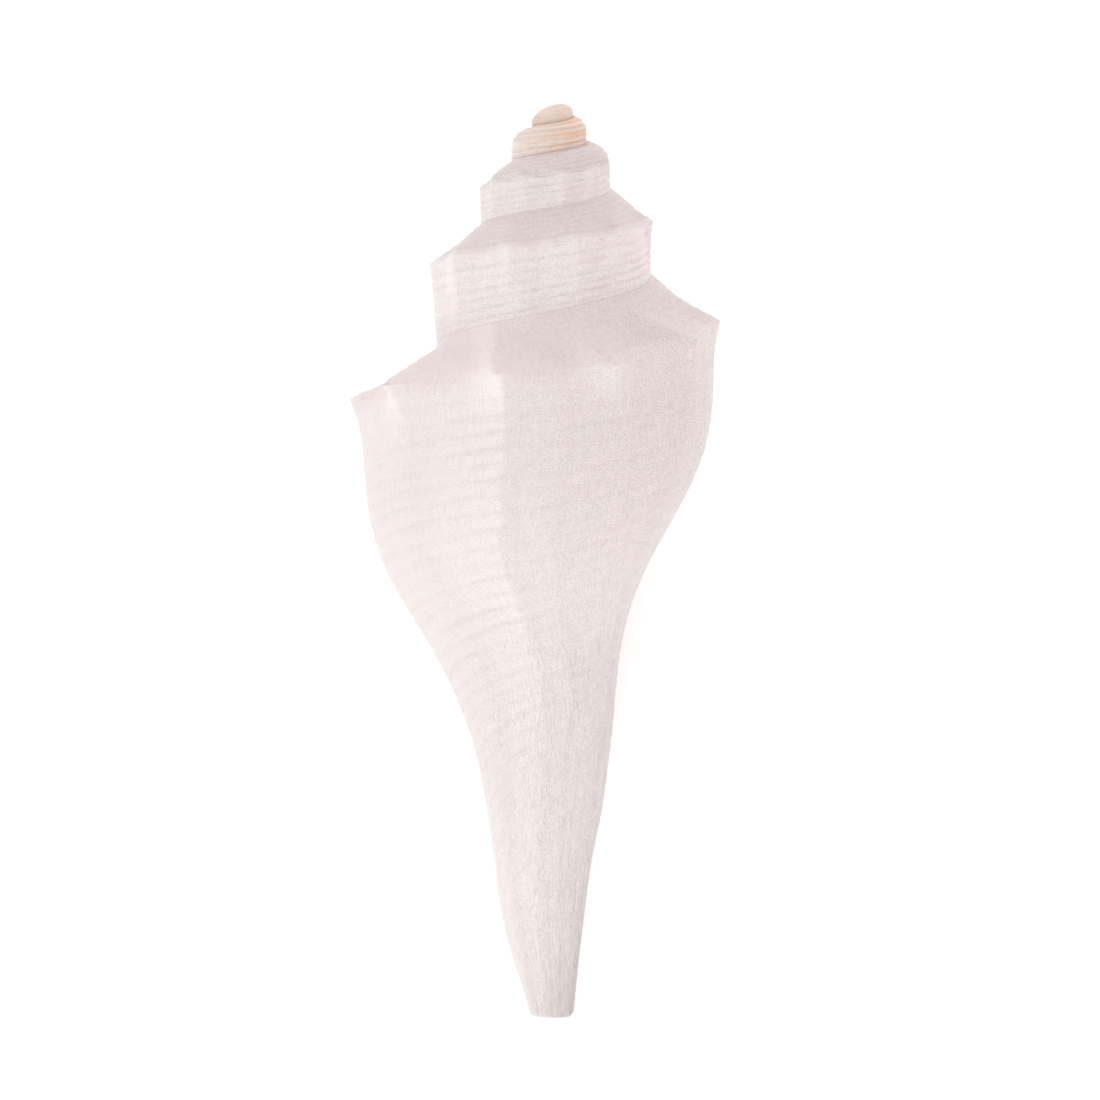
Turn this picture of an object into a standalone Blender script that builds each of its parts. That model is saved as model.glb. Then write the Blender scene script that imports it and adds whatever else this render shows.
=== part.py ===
"""A white knobbed sea shell with a long straight canal, lying on its opening.

The shell grew as one piece, so it is one solid: a tube that coils round an axis while it widens, with a
hollow that runs from the opening up into the spire and out through the canal. A turn is counted along the
coil: turn 0 is where the newest whorl passes the left side, turn -1 is one whorl older, and the lip ends at
LIP_TURN. A depth is a distance down the axis from the tip of the spire. Lengths inside the formulas are in
millimetres, and the mesh is written in metres.
"""

import math

import bmesh
import bpy
import numpy as np

MM = 0.001

# The coil
SHELL_LENGTH = 130.0
LIP_TURN = 0.10
SPIRE_TURNS = 5.70
NUCLEUS_TURN = LIP_TURN - SPIRE_TURNS + 1.0     # the rounded first whorl ends here
SHOULDER_RADIUS = 27.5                          # at turn 0
WIDENING = 0.44                                 # of the radius, per turn, as an exponent
WIDENING_SLOWS = 0.022

AXIS_SWAY = (                                   # depth, then how far the axis strays to the right
    (0.0, 0.0),
    (5.0, -0.35),
    (14.0, -0.35),
    (28.0, -0.1),
    (40.0, 0.3),
    (75.0, 0.3),
    (92.0, 0.0),
)

CORNER_ROUNDING = 3.0                           # corners of outlines are averaged this far each way

# Depths along the axis, at turn 0, and how fast they grow per turn
SUTURE_DEPTH = 36.0
SUTURE_GROWTH = 0.629
SHOULDER_DEPTH = 43.9
SHOULDER_GROWTH = 0.577
BLUNT_TIP = 2.1                                 # the rounded tip starts this far down the cone

# Ramp between suture and shoulder
ROUND_WHORLS = (2.1, 3.8)                       # turns back, between which the ramp becomes a round dome
RAMP_HOLLOW = 0.45                              # how far the newest ramp sags

# Side of a whorl below its shoulder: full at first, then a smooth fall to the canal
BELLY_DROP = 34.9
BELLY_STEEPNESS = 4.3
BELLY_SCALE = 0.30
CANAL_SHARE = 0.40
CANAL_FADE = 163.0

# Canal: depth, then radius on the lip's side and on the far side
CANAL_OUTLINE = (
    (72.0, 21.4, 10.4),
    (82.5, 15.2, 8.6),
    (91.0, 11.6, 7.7),
    (100.0, 9.9, 6.6),
    (108.0, 8.7, 4.8),
    (114.0, 8.2, 4.1),
    (121.0, 6.5, 3.2),
    (130.0, 3.4, 2.3),
)
CANAL_BLEND = (68.0, 91.0)
CANAL_START = (LIP_TURN - 1.35, LIP_TURN - 1.05)  # turns over which a whorl takes on this outline
CANAL_UNDERSIDE = 0.25                          # how much thinner the canal is underneath

# Knobs on the shoulder
KNOB_SPACING = 0.098                            # turns
FIRST_KNOB = 0.007                              # turn of the knob nearest to turn 0
KNOB_HALF_WIDTH = 0.27                          # share of the spacing
KNOB_STAGES = ((0.7, -2.4, -1.2), (0.4, -0.75, -0.5), (1.3, -0.4, -0.05))  # height gained between two turns
KNOB_SHARES = (1.0, 1.1, 1.4, 1.8, 0.9, 1.3)    # of that height, knob 0 and the older ones; the rest have all of it
KNOB_RISE = 0.8                                 # its crest sits this far above the shoulder
KNOB_FADE = (2.6, 3.4)                          # how far it reaches up the ramp and down the side

# Hollow
WALL = 1.6
CALLUS = 0.35                                   # glaze laid on the older whorl inside the opening
SLIT = 0.25                                     # least width of the hollow
HOLLOW_REACH = 0.93                             # of the shell's length at that turn
HOLLOW_TURNS = 2.4
HOLLOW_PAST_LIP = 0.035
CANAL_HOLLOW_TURNS = 0.36                       # how far round the canal its channel reaches

# Mesh
COLUMNS_PER_TURN = 50
HOLLOW_COLUMNS_PER_TURN = 30
HOLLOW_ROWS = 13
RAMP_ROWS = (0.0, 0.40, 0.78)                   # shares of the way from suture to shoulder
SIDE_ROWS = (0.0, 0.10, 0.26, 0.60)             # shares of the way from shoulder to next suture
BASE_ROWS = 17

# Rest pose: the shell lies on its lip, its belly and the end of its canal
REST_PITCH = math.radians(10.85)                # spire end up
REST_ROLL = math.radians(3.60)                  # lip side down


def smooth_step(x, start, end):
    """0 before start, 1 after end, and an even S between them."""
    s = np.clip((x - start) / (end - start), 0.0, 1.0)
    return s * s * (3.0 - 2.0 * s)


def soft_line(x, places, values):
    """Straight lines through (place, value) points, with the corners rounded by averaging nearby."""
    nearby = [x + CORNER_ROUNDING * share for share in (-1.0, -0.5, 0.0, 0.5, 1.0)]
    return np.mean([np.interp(near, places, values) for near in nearby], axis=0)


def growth(turn):
    """Size of the shell at a turn, as a share of its size at turn 0."""
    return np.exp(WIDENING * turn - WIDENING_SLOWS * turn * turn)


def shoulder_radius(turn):
    """Radius at the shoulder: steady widening, and a rounded start in the first whorl."""
    first = growth(NUCLEUS_TURN) * np.clip(turn - NUCLEUS_TURN + 1.0, 0.0, None) ** 0.64
    return SHOULDER_RADIUS * np.where(turn < NUCLEUS_TURN, first, growth(turn))


def suture_depth(turn):
    """Depth where the whorl meets the one before it."""
    steady = SUTURE_DEPTH * np.exp(SUTURE_GROWTH * turn) - BLUNT_TIP
    first_end = NUCLEUS_TURN + 1.0
    first_depth = SUTURE_DEPTH * math.exp(SUTURE_GROWTH * first_end) - BLUNT_TIP
    first = first_depth * np.clip(turn - NUCLEUS_TURN, 0.0, None) ** 1.38
    return np.where(turn < first_end, first, steady)


def shoulder_depth(turn):
    """Depth of the shoulder, where the ramp meets the side."""
    steady = SHOULDER_DEPTH * np.exp(SHOULDER_GROWTH * turn) - BLUNT_TIP
    return np.where(turn < NUCLEUS_TURN, 0.6 * suture_depth(turn + 1.0), steady)


def side_radius(turn, depth):
    """Radius below the shoulder: full, then falling by a smooth step to a canal that thins slowly."""
    drop = np.clip((depth - shoulder_depth(turn)) / np.exp(BELLY_SCALE * turn), 0.0, None)
    canal = CANAL_SHARE * np.exp(-drop / CANAL_FADE)
    return shoulder_radius(turn) * (canal + (1.0 - canal) / (1.0 + (drop / BELLY_DROP) ** BELLY_STEEPNESS))


def canal_radius(turn, depth):
    """Radius of the canal: the lip's side and the far side by outline, and thinner underneath."""
    depths, lip_side, far_side = np.array(CANAL_OUTLINE).T
    lip_side = soft_line(depth, depths, lip_side)
    far_side = soft_line(depth, depths, far_side)
    newer = 0.5 + 0.5 * np.cos(math.pi * np.clip(-2.0 * turn, 0.0, 1.0))
    older = 1.0 - CANAL_UNDERSIDE * smooth_step(-turn, 0.5, 0.87)
    return np.where(turn > -0.5, far_side + (lip_side - far_side) * newer, far_side * older)


def knob_height(turn, depth):
    """Rounded ridges on the shoulder that fade quickly up the ramp and slowly down the side."""
    count = (turn - FIRST_KNOB) / KNOB_SPACING
    number = np.round(count)
    across = count - number
    drop = (depth - shoulder_depth(turn)) / growth(turn) + KNOB_RISE
    reach = np.where(drop < 0.0, *KNOB_FADE)
    height = sum(gain * smooth_step(turn, start, end) for gain, start, end in KNOB_STAGES)
    for older, share in enumerate(KNOB_SHARES):
        height = np.where(number == -older, share * height, height)
    return height * np.exp(-(across / KNOB_HALF_WIDTH) ** 2 - (drop / reach) ** 2)


def whorl_radius(turn, depth, knobs=True):
    """Outer radius of one whorl: a ramp from the suture to the shoulder, then the side, then the canal."""
    turn, depth = np.broadcast_arrays(np.asarray(turn, float), np.asarray(depth, float))
    top, edge = suture_depth(turn), shoulder_depth(turn)
    older = side_radius(turn - 1.0, top) * smooth_step(turn, NUCLEUS_TURN, NUCLEUS_TURN + 0.2)
    along = np.clip((depth - top) / np.maximum(edge - top, 1e-9), 0.0, 1.0)
    roundness = 1.0 + smooth_step(-turn, *ROUND_WHORLS)
    bulge = (1.0 - (1.0 - along) ** roundness) ** (1.0 / roundness)
    bulge = bulge ** (1.0 + RAMP_HOLLOW * smooth_step(turn, -0.5, 0.0))
    ramp = older + (shoulder_radius(turn) - older) * bulge
    radius = np.where(depth < edge, ramp, side_radius(turn, depth))
    canal = smooth_step(depth, *CANAL_BLEND) * smooth_step(turn, *CANAL_START)
    radius = radius * (1.0 - canal) + canal_radius(turn, depth) * canal
    return radius + (knob_height(turn, depth) if knobs else 0.0)


def place(turn, depth, radius):
    """Points in metres: the axis along Y with the spire at +Y, the newest half whorl upward."""
    angle = (turn + 0.25) * 2.0 * math.pi
    sway = soft_line(depth, *np.array(AXIS_SWAY).T)
    return np.stack([sway - radius * np.sin(angle), -depth, radius * np.cos(angle)], axis=-1) * MM


def column_depths(turn):
    """Depths of the mesh rows at one turn: ramp, side, and in the last whorl the base and canal."""
    top, edge, below = suture_depth(turn), shoulder_depth(turn), suture_depth(turn + 1.0)
    ramp = [top + (edge - top) * share for share in RAMP_ROWS]
    side = [edge + (below - edge) * share for share in SIDE_ROWS]
    base = [below + (SHELL_LENGTH - below) * row / BASE_ROWS for row in range(BASE_ROWS + 1)]
    return np.array(ramp + side + base)


def outer_body():
    """The filled outside of the shell as one closed mesh, cut off flat at the lip."""
    count = round(SPIRE_TURNS * COLUMNS_PER_TURN)
    turns = LIP_TURN - (count - np.arange(count + 1)) / COLUMNS_PER_TURN
    spire_rows = len(RAMP_ROWS) + len(SIDE_ROWS)
    last_whorl = count - COLUMNS_PER_TURN

    mesh = bmesh.new()
    columns = []
    for index, turn in enumerate(turns):
        depths = column_depths(turn)
        if index < last_whorl:
            depths = depths[:spire_rows]
        points = place(turn, depths, whorl_radius(turn, depths))
        columns.append([mesh.verts.new(point) for point in points])
    # each spire column ends on the first point of the column one turn newer
    for index in range(last_whorl):
        columns[index].append(columns[index + COLUMNS_PER_TURN][0])
    seam = columns[last_whorl]
    mesh.verts.remove(seam[spire_rows])
    seam[spire_rows] = columns[count][0]

    for left, right in zip(columns, columns[1:]):
        rows = min(len(left), len(right))
        for row in range(rows - 1):
            mesh.faces.new((left[row], left[row + 1], right[row + 1], right[row]))
    mesh.faces.new(columns[count] + seam[:spire_rows:-1])
    mesh.faces.new([column[-1] for column in columns[last_whorl:]])
    bmesh.ops.remove_doubles(mesh, verts=mesh.verts, dist=0.00002)
    return finish_mesh(mesh, "outside")


def inner_face(turn, depth, wall):
    """The outside moved inward along its normal by the wall's thickness: depths and radii."""
    step = 0.05
    deeper = whorl_radius(turn, depth + step, knobs=False)
    higher = whorl_radius(turn, depth - step, knobs=False)
    slope = (deeper - higher) / (2.0 * step)
    length = np.hypot(1.0, slope)
    return depth + wall * slope / length, whorl_radius(turn, depth, knobs=False) - wall / length


def hollow_section(turn):
    """Closed loop of (depth, radius) round the hollow at one turn.

    It runs down the outer wall, which is the outside moved inward along its normal by the wall's
    thickness, and back up the older whorl and its canal, which it covers with a thin callus.
    """
    size = growth(turn)
    wall = WALL * size ** 0.7
    callus = CALLUS * size
    slit = SLIT * size
    top, edge = suture_depth(turn), shoulder_depth(turn)
    ramp = np.linspace(top, edge, 60)
    ramp_depths, ramp_radii = inner_face(turn, ramp, wall)
    older = whorl_radius(turn - 1.0, ramp_depths, knobs=False) + callus
    start = ramp[np.argmax(ramp_radii > older + slit)]

    grown_end = SHELL_LENGTH * math.exp(SHOULDER_GROWTH * turn) * HOLLOW_REACH
    open_end = SHELL_LENGTH + 3.0 * wall
    channel_start = LIP_TURN - CANAL_HOLLOW_TURNS
    channel = smooth_step(turn, channel_start - 0.12, channel_start)
    end = grown_end + (open_end - grown_end) * channel

    share = np.linspace(0.0, 1.0, HOLLOW_ROWS)
    depths, outer = inner_face(turn, start + (end - start) * share ** 1.25, wall)
    older = whorl_radius(turn - 1.0, depths, knobs=False) + callus
    inner = np.minimum(older, outer - slit)
    down = list(zip(depths, outer))
    up = list(zip(depths, inner))[::-1]
    return np.array(down + up)


def hollow_body():
    """The room inside the shell as a closed coiling tube that pokes out past the lip."""
    start, end = LIP_TURN - HOLLOW_TURNS, LIP_TURN + HOLLOW_PAST_LIP
    count = round((end - start) * HOLLOW_COLUMNS_PER_TURN)
    mesh = bmesh.new()
    loops = []
    for turn in np.linspace(start, end, count + 1):
        section = hollow_section(turn)
        points = place(turn, section[:, 0], section[:, 1])
        loops.append([mesh.verts.new(point) for point in points])
    for old, new in zip(loops, loops[1:]):
        for index in range(len(old)):
            after = (index + 1) % len(old)
            mesh.faces.new((old[index], new[index], new[after], old[after]))
    mesh.faces.new(loops[0])
    mesh.faces.new(loops[-1][::-1])
    return finish_mesh(mesh, "hollow")


def finish_mesh(mesh, name):
    """Turn the faces outward and hand the mesh to an object."""
    bmesh.ops.recalc_face_normals(mesh, faces=mesh.faces)
    data = bpy.data.meshes.new(name)
    mesh.to_mesh(data)
    mesh.free()
    return bpy.data.objects.new(name, data)


def rest(shell, hollow):
    """Lay the shell down under one empty, lowest point at z = 0 and centred over the origin."""
    pose = bpy.data.objects.new("rest_pose", None)
    pose.rotation_mode = "YXZ"
    pose.rotation_euler = (REST_PITCH, REST_ROLL, 0.0)
    shell.parent = pose
    hollow.parent = pose

    turned = pose.rotation_euler.to_matrix()
    points = np.array([turned @ vertex.co for vertex in shell.data.vertices])
    low, high = points.min(axis=0), points.max(axis=0)
    pose.location = (-(low[0] + high[0]) / 2.0, -(low[1] + high[1]) / 2.0, -low[2])
    return pose


def shell_material():
    """Chalky white outside, slightly rough."""
    material = bpy.data.materials.new("chalk_white_shell")
    material.use_nodes = True
    surface = material.node_tree.nodes["Principled BSDF"]
    surface.inputs["Base Color"].default_value = (0.86, 0.80, 0.76, 1.0)
    surface.inputs["Roughness"].default_value = 0.55
    surface.inputs["Metallic"].default_value = 0.0
    return material


def main():
    for old in list(bpy.data.objects):
        bpy.data.objects.remove(old)
    parts = bpy.data.collections.new("sea_shell")
    cutters = bpy.data.collections.new("cutters")
    bpy.context.scene.collection.children.link(parts)
    bpy.context.scene.collection.children.link(cutters)

    shell = outer_body()
    shell.name = "shell"
    shell.data.materials.append(shell_material())
    parts.objects.link(shell)

    hollow = hollow_body()
    hollow.hide_render = True
    hollow.display_type = "WIRE"
    cutters.objects.link(hollow)
    parts.objects.link(rest(shell, hollow))

    cut = shell.modifiers.new("hollow", "BOOLEAN")
    cut.operation = "DIFFERENCE"
    cut.solver = "EXACT"
    cut.object = hollow


main()
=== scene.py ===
"""Looks of a white knobbed sea shell with a long straight canal, lying on its opening.

The shell is one surface wound up like a coil. A turn is counted along the coil: turn 0 is where the newest
whorl passes the left side, turn -1 is one whorl older, and the lip ends at LIP_TURN. A depth is a distance
down the axis from the tip of the spire. Formulas are in millimetres, meshes are in metres.
"""

import math

import bmesh
import bpy
import numpy as np
from mathutils import Euler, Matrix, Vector


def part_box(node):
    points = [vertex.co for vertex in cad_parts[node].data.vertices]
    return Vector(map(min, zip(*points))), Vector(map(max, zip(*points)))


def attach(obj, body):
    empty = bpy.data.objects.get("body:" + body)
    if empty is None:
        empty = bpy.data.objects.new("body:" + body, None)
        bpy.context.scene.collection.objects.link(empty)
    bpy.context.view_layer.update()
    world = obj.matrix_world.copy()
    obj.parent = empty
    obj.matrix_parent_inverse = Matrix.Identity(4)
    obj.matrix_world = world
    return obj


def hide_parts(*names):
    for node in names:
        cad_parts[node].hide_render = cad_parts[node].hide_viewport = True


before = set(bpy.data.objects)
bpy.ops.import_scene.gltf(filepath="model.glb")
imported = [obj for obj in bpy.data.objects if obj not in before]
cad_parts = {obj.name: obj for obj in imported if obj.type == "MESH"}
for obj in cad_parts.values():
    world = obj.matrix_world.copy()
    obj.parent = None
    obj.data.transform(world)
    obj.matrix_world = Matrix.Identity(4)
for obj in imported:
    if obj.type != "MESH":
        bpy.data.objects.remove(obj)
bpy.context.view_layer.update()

MM = 0.001

# The coil, as the solid has it
SHELL_LENGTH = 130.0
LIP_TURN = 0.10
SPIRE_TURNS = 5.70
NUCLEUS_TURN = LIP_TURN - SPIRE_TURNS + 1.0     # the rounded first whorl ends here
NUCLEUS_WIDENS = 0.64                           # exponents: its radius, and its suture's depth
NUCLEUS_DROPS = 1.38
SHOULDER_RADIUS = 27.5                          # at turn 0
WIDENING = 0.44                                 # of the radius, per turn, as an exponent
WIDENING_SLOWS = 0.022
AXIS_SWAY = (                                   # depth, then how far the axis strays to the right
    (0.0, 0.0),
    (5.0, -0.35),
    (14.0, -0.35),
    (28.0, -0.1),
    (40.0, 0.3),
    (75.0, 0.3),
    (92.0, 0.0),
)
CORNER_ROUNDING = 3.0                           # corners of outlines are averaged this far each way

# Depths along the axis, at turn 0, and how fast they grow per turn
SUTURE_DEPTH = 36.0
SUTURE_GROWTH = 0.629
SHOULDER_DEPTH = 43.9
SHOULDER_GROWTH = 0.577
SHOULDER_SAG = (1.4, -0.30, 0.09)               # it hangs this much lower around this turn, over this many
BLUNT_TIP = 2.1                                 # the rounded tip starts this far down the cone
DOME_TURNS = (NUCLEUS_TURN + 0.6, NUCLEUS_TURN + 1.0)   # its suture comes out of the smooth dome here
TIP_LEAN = (0.12, 0.8, 3.5)                     # rise per millimetre to the right, fading between two depths

# Ramp between suture and shoulder
ROUND_WHORLS = (1.9, 2.5)                       # turns back, between which the ramp becomes a round dome
ROUNDEST = 0.8                                  # added to the exponent there: 1 would be a quarter ellipse
RAMP_HOLLOW = 0.45                              # how far the newest ramp sags
RAMP_HOLLOW_TURNS = (-0.5, 0.0)
RAMP_SPAN = 13.0                                # length of the ramp at turn 0, for patterns

# Side of a whorl below its shoulder: full at first, then a smooth fall to the canal
BELLY_DROP = 34.9
BELLY_STEEPNESS = 4.3
BELLY_SCALE = 0.30
CANAL_SHARE = 0.40
CANAL_FADE = 163.0

# Canal: depth, then radius on the lip's side and on the far side
CANAL_OUTLINE = (
    (72.0, 21.4, 10.4),
    (82.5, 15.2, 8.6),
    (91.0, 11.6, 7.7),
    (100.0, 9.9, 6.6),
    (108.0, 8.7, 4.8),
    (114.0, 8.2, 4.1),
    (121.0, 6.5, 3.2),
    (130.0, 3.4, 2.3),
)
CANAL_BLEND = (68.0, 91.0)
CANAL_START = (LIP_TURN - 1.35, LIP_TURN - 1.05)
CANAL_UNDERSIDE = 0.25                          # how much thinner the canal is underneath
UNDERSIDE_TURNS = (0.5, 0.87)                   # turns back

# Knobs on the shoulder
KNOB_SPACING = 0.0985                           # turns
FIRST_KNOB = -0.0047                            # turn of the knob nearest to turn 0, but for the wider gap
KNOB_GAP = (0.012, -0.10, -0.01)                # one gap is this much wider, between these turns
KNOB_FLANKS = (0.22, 0.38)                      # toward the lip and away from it, shares of the spacing
KNOB_STAGES = ((0.7, -2.4, -1.2), (0.4, -0.75, -0.5), (1.3, -0.4, -0.05))  # height gained between two turns
KNOB_FADE = (3.4, 3.4)                          # how far it reaches up the ramp and down the side
KNOB_POINT = 1.4                                # 2 is a round knob, 1 a sharp one
KNOBS = (                                       # size, how far up its fold reaches, rise above the shoulder
    (1.0, 5.0, 0.8),                            # knob 0
    (2.1, 6.0, 0.5),                            # the next older one, and so on
    (1.9, 5.0, 0.0),
    (2.5, 9.0, 0.0),
    (1.2, 5.0, 0.4),
    (1.3, 5.0, 0.2),
    (0.8, 5.0, 0.5),                            # all the rest
)
FOLD_SHARE = (0.35, 0.22)                       # height of the folds that run on up and down
FOLD_FADE = 9.0                                 # down the side
DIP_STAGES = ((0.6, -2.4, -1.2), (1.6, -0.6, -0.3))    # depth of the dip between knobs, as for their height
DIP_PEAK = 3.2                                  # deepest this far above the shoulder
SHOULDER_WEAR = 0.7                             # and the shoulder itself is worn down there
WEAR_FADE = 3.0
WEAR_TURNS = (-1.0, -0.3)
SHOULDER_ROUNDING = 2.6                         # its edge is rounded over this much depth each way
ROUNDING_TURNS = (-1.3, -0.4)

# Growth lines lean: how many turns they shift by
RAMP_LEAN = 0.05                                # from the shoulder up to the suture
BASE_LEAN = (                                   # depth, then turns, on the newest whorl
    (45.0, 0.0),
    (64.0, 0.014),
    (76.0, -0.004),
    (83.0, -0.024),
    (104.0, 0.0),
)
BASE_LEAN_TURNS = (-0.9, -0.6)

# A former lip, left as a low crease down the side
CREASE_TURN = -0.204
CREASE_HEIGHT = 1.1
CREASE_FLANKS = (0.080, 0.045)                  # turns, on its older and on its newer side
STAGE_FADE = 0.07                               # turns over which the painted light on the newer side fades
CREASE_DEPTHS = (36.0, 48.0, 76.0, 96.0)        # it rises between the first two and fades by the last

# How pale the shell is, 0 to 1: bleached everywhere, and what each of these adds, most of it painted light
PALE = 0.38
PALE_NEWEST = -0.22                             # the newest part of the last whorl
PAINTED_LIGHT_BY_CREASE = 0.25                               # painted light on the newer side of the crease, the facet that faces the key light
PAINTED_LIGHT_ON_KNOBS = 0.35                               # painted light on the lit flank beside the knobs' crests
PALE_AND_LIT_YOUNG_SIDES = 0.45                               # sides of the young whorls: partly bleaching, partly painted light
PAINTED_LIGHT_ON_CANAL = 0.50                               # painted light on the shaded base and canal, most of all their far side
NEWEST_TURNS = (-0.22, -0.02)                   # from where on, and where fully
YOUNG_SIDE_TURNS = (0.8, 1.1)                   # turns back
CANAL_REACH = (22.0, 52.0)                      # below the shoulder
CANAL_FAR_SIDE = (0.3, 0.05, 0.40)              # share on the lip's side, and turns back to the far side
CANAL_END = (0.6, 85.0, 115.0)                  # painted light added at the canal's end, between these depths
SIDE_START = (-3.0, 0.0)                        # below the shoulder, where the side's colours fade in
FACE_REACH = (14.0, 4.5, -0.9, -0.5)            # down young sides and the last; they change between turns
FACE_SPREAD = 0.45                              # exponent: smaller is broader

# Folds down the side of the young whorls
YOUNG_FOLDS = (-3.0, -2.5, -1.6, -0.6)          # they come between the first two turns and go by the last
YOUNG_FOLD_HEIGHT = 0.9
YOUNG_FOLD_SIDE = (-6.0, 0.0, 3.0, 14.0)        # below the shoulder: fades in, then mostly out
YOUNG_FOLD_FADES = 0.8                          # share of it that goes there

# Cords wound round the shell, at turn 0
CORD_SPACING = 2.45
CORD_HEIGHT = 0.14
CORD_GROOVE = 0.13                              # share of the spacing
CORD_CROWN = (0.9, 0.8)                         # how round the cords are, on young whorls and on the last
CORD_CROWN_TURNS = (-0.9, -0.5)
CORD_TURNS = (-4.6, -3.8)                       # they come in on the second whorl
CORD_START = (0.3, 4.0)                         # below the shoulder
CORD_FADES = (78.0, 104.0)                      # they grow faint down the canal
CORD_LOSS = 0.75                                # of their height, there and on the last ramp
CORD_FAR_LOSS = 0.5                             # on the far part of the last whorl
RAMP_CORD_SPACING = 1.85
YOUNG_SPREAD = (0.7, 1.4, 2.0, 3.2)             # cords wider apart, side and ramp, between these turns back
RAMP_CORD_HEIGHT = 0.18
WORN_RANGE = 0.35                               # from the deepest groove to the highest crest, for colour
SWELLS = (0.06, 0.025)                          # heights of slow and of fine growth swells
SWELL_START = (-9.0, 3.0)                       # below the shoulder
SWELL_TURNS = (-3.6, -2.6)

# Suture and rim
KNOB_CLEAR = 3.5                                # knobs and dips fade in over this depth below the suture
SUTURE_GROOVE = 0.035
SUTURE_REACH = (1.4, 0.5)                       # over which the relief fades, and width of the groove
RIM_ROUNDING = 0.7
TIP_ROUNDING = 0.45

# Hollow
WALL = 1.6
LIP_WALL = 1.25
LIP_THINS = 0.15                                # turns before the lip over which the wall thins
RIM_THINS = 0.6                                 # of the rim's rounding, taken off the wall there
CALLUS = 0.35                                   # glaze laid on the older whorl inside the opening
CALLUS_OUTSIDE = 0.93                           # of its thickness, beside the opening
CALLUS_SPREAD = (0.02, 0.10)                    # turns past the lip over which it thins away
SLIT = 0.25                                     # least width of the hollow
HOLLOW_REACH = 0.93                             # of the shell's length at that turn
HOLLOW_TURNS = 2.4
HOLLOW_PAST_LIP = 0.035                         # turns that it pokes out
LIFT_PAST_LIP = 0.12                            # how far it lifts off the callus there
CANAL_HOLLOW_TURNS = 0.36                       # how far round the canal its channel reaches
CANAL_HOLLOW_FADE = 0.12                        # and the turns over which it deepens there
HOLLOW_PAST_TIP = 3.0                           # walls that the channel reaches beyond the canal's end

# Mesh
COLUMNS_PER_TURN = 160
RIM_COLUMNS = np.array([0.97, 0.8, 0.5, 0.2])   # extra columns, in shares of the rim's rounding
RAMP_ROWS = 30
SIDE_ROWS = 30
BASE_ROWS = 150
RAMP_CROWDING = 1.35                            # exponents: rows lie closer together beside sutures
SIDE_CROWDING = 1.25
BASE_CROWDING = 0.006                           # and at the canal's end
HOLLOW_COLUMNS_PER_TURN = 80
HOLLOW_ROWS = 36
HOLLOW_CROWDING = 1.25
CLEARANCE_STEPS = 120                           # places tried down the ramp for the hollow's upper edge
SHARP_ANGLE = math.radians(50.0)                # edges steeper than this stay sharp

# Rest pose: the shell lies on its lip, its belly and the end of its canal
REST_TILT = Euler((math.radians(10.85), math.radians(3.60), 0.0), "YXZ")

# View
FRAME_WIDTH = 156.5                             # seen across the middle of the shell
FRAME_CENTRE = (-0.92, 63.4)                    # right of the axis, and depth
CAMERA_DISTANCE = 1600.0
CAMERA_PITCH = math.radians(3.2)                # toward the spire, from square to the axis
SENSOR = 36.0

# Light: sizes and places in metres, powers in watts
FLOOR_WIDTH = 6.0
FLOOR_GLOW = 0.24                               # of the light table under the paper
TENT = ("FFF9F9", 1.03)
LIGHTS = (                                      # name, size, power, place, colour
    ("key", 0.4, 1.45, (-0.50, -0.50, 0.55), "E8FFFA"),
    ("fill", 0.4, 0.12, (0.25, 0.70, 0.30), "FFFFFF"),
)
CARD = ("card", 0.04, 0.0045, (0.045, -0.08, 0.055), "FFFFFF")
CARD_AIM = (0.0, -0.045, 0.0)                   # the middle of the canal, from the point the camera looks at

# Surfaces, in millimetres
GRAIN_SIZE = 0.18
PATCH_SIZE = 16.0
OUTSIDE_BUMP = 0.09
INSIDE_BUMP = 0.10
SHINE_DEPTH = 0.8                               # how far light goes into the shell

# Colours of the outside
CHALK = "DAD2D0"                                # least bleached
BLEACHED = "FAF4F1"                             # most bleached, and where most light is painted
PINK_PATCH = "E6DBDD"
STREAK = "E6E0DE"
# dirt and painted shade in the grooves
GROOVE_DIRT_AND_SHADE = "CFC3C4"
# painted shade in the pores
PORE_SHADE_COLOUR = "B9ACA9"
PALE_CORD = "F2E8E2"                            # cords on the first whorls
SEAM_STAIN = "B98F6B"
CALLUS_CREAM = "ECE2DC"
YOUNG_TURNS = (-5.6, -2.6)
YOUNG_COLOURS = (                               # share of the way between those turns, colour, strength
    (0.0, "FAE6D9", 1.0),
    (0.48, "FAE3D4", 1.0),
    (0.58, "F5D2BB", 1.0),
    (0.76, "F3CEB6", 1.0),
    (0.83, "F2DCCF", 0.6),
    (0.90, "F0EAE7", 0.0),
)


def smooth_step(x, start, end):
    """0 before start, 1 after end, and an even S between them."""
    s = np.clip((x - start) / (end - start), 0.0, 1.0)
    return s * s * (3.0 - 2.0 * s)


def soft_line(x, places, values):
    """Straight lines through (place, value) points, with the corners rounded by averaging nearby."""
    nearby = [x + CORNER_ROUNDING * share for share in (-1.0, -0.5, 0.0, 0.5, 1.0)]
    return np.mean([np.interp(near, places, values) for near in nearby], axis=0)


def growth(turn):
    """Size of the shell at a turn, as a share of its size at turn 0."""
    return np.exp(WIDENING * turn - WIDENING_SLOWS * turn * turn)


def shoulder_radius(turn):
    """Radius at the shoulder: steady widening, and a rounded start in the first whorl."""
    first = growth(NUCLEUS_TURN) * np.clip(turn - NUCLEUS_TURN + 1.0, 0.0, None) ** NUCLEUS_WIDENS
    return SHOULDER_RADIUS * np.where(turn < NUCLEUS_TURN, first, growth(turn))


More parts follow.
